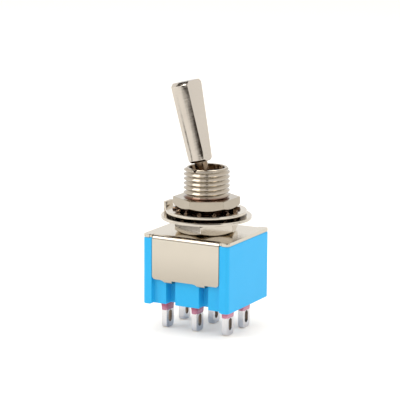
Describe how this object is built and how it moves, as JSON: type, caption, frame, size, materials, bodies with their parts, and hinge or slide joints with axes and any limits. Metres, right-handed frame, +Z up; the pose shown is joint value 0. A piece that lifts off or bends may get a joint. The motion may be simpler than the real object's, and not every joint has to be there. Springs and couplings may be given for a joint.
{
  "type": "toggle switch",
  "caption": "Miniature panel toggle switch with a bat lever, a threaded bushing with nuts and washers, a folded metal cover, a blue body and solder lugs.",
  "frame": {"origin": "on the bushing's axis at the cover's top face", "axes": "+Z up along the bushing, +X the way the lever swings from rest, -Y towards the front flap"},
  "size_m": [0.0132, 0.0124, 0.0344],
  "materials": {
    "housing": "satin",
    "cover": "tin plated",
    "hardware": "nickel plated",
    "lever": "bright plated",
    "carriage": "moulded",
    "brass": "turned",
    "spring": "drawn wire",
    "contact": "silver plated",
    "resin": "set resin"
  },
  "bodies": {
    "body": {"housing": "housing", "frame_cover": "cover", "bushing": "hardware", "lower_nut": "hardware", "locating_ring": "hardware", "lock_washer": "hardware", "upper_nut": "hardware", "terminal_front_left": "contact", "seal_front_left": "resin", "terminal_front_common": "contact", "seal_front_common": "resin", "terminal_front_right": "contact", "seal_front_right": "resin", "terminal_rear_left": "contact", "seal_rear_left": "resin", "terminal_rear_common": "contact", "seal_rear_common": "resin", "terminal_rear_right": "contact", "seal_rear_right": "resin"},
    "lever": {"lever": "lever"},
    "carriage": {"contact_driver": "carriage", "spring_front": "spring", "spring_rear": "spring"},
    "plunger_front": {"plunger_front": "brass"},
    "rocker_front": {"rocker_front": "contact"},
    "plunger_rear": {"plunger_rear": "brass"},
    "rocker_rear": {"rocker_rear": "contact"}
  },
  "joints": [
    {"name": "lever_tilt", "type": "hinge", "parent": "body", "child": "lever", "pos_m": [0, 0, 0.0053], "axis": [0, 1, 0], "range_deg": [0, 25]},
    {"name": "carriage_slide", "type": "slide", "parent": "body", "child": "carriage", "axis": [1, 0, 0], "range_m": [-0.0035, 0]},
    {"name": "rocker_front_tilt", "type": "hinge", "parent": "body", "child": "rocker_front", "pos_m": [0, -0.0024, -0.00774], "axis": [0, 1, 0], "range_deg": [-12, 0]},
    {"name": "plunger_front_slide", "type": "slide", "parent": "carriage", "child": "plunger_front", "axis": [0, 0, 1], "range_m": [0, 0.0003], "stiffness_N_per_m": 50, "springref_m": -0.0002, "deforming": ["spring_front"]},
    {"name": "rocker_rear_tilt", "type": "hinge", "parent": "body", "child": "rocker_rear", "pos_m": [0, 0.0024, -0.00774], "axis": [0, 1, 0], "range_deg": [-12, 0]},
    {"name": "plunger_rear_slide", "type": "slide", "parent": "carriage", "child": "plunger_rear", "axis": [0, 0, 1], "range_m": [0, 0.0003], "stiffness_N_per_m": 50, "springref_m": -0.0002, "deforming": ["spring_rear"]}
  ],
  "couplings": [
    {"joint": "carriage_slide", "follows": "lever_tilt", "m_per_rad": -0.008026},
    {"joint": "rocker_front_tilt", "follows": "lever_tilt", "ratio": -0.48},
    {"joint": "rocker_rear_tilt", "follows": "lever_tilt", "ratio": -0.48}
  ]
}
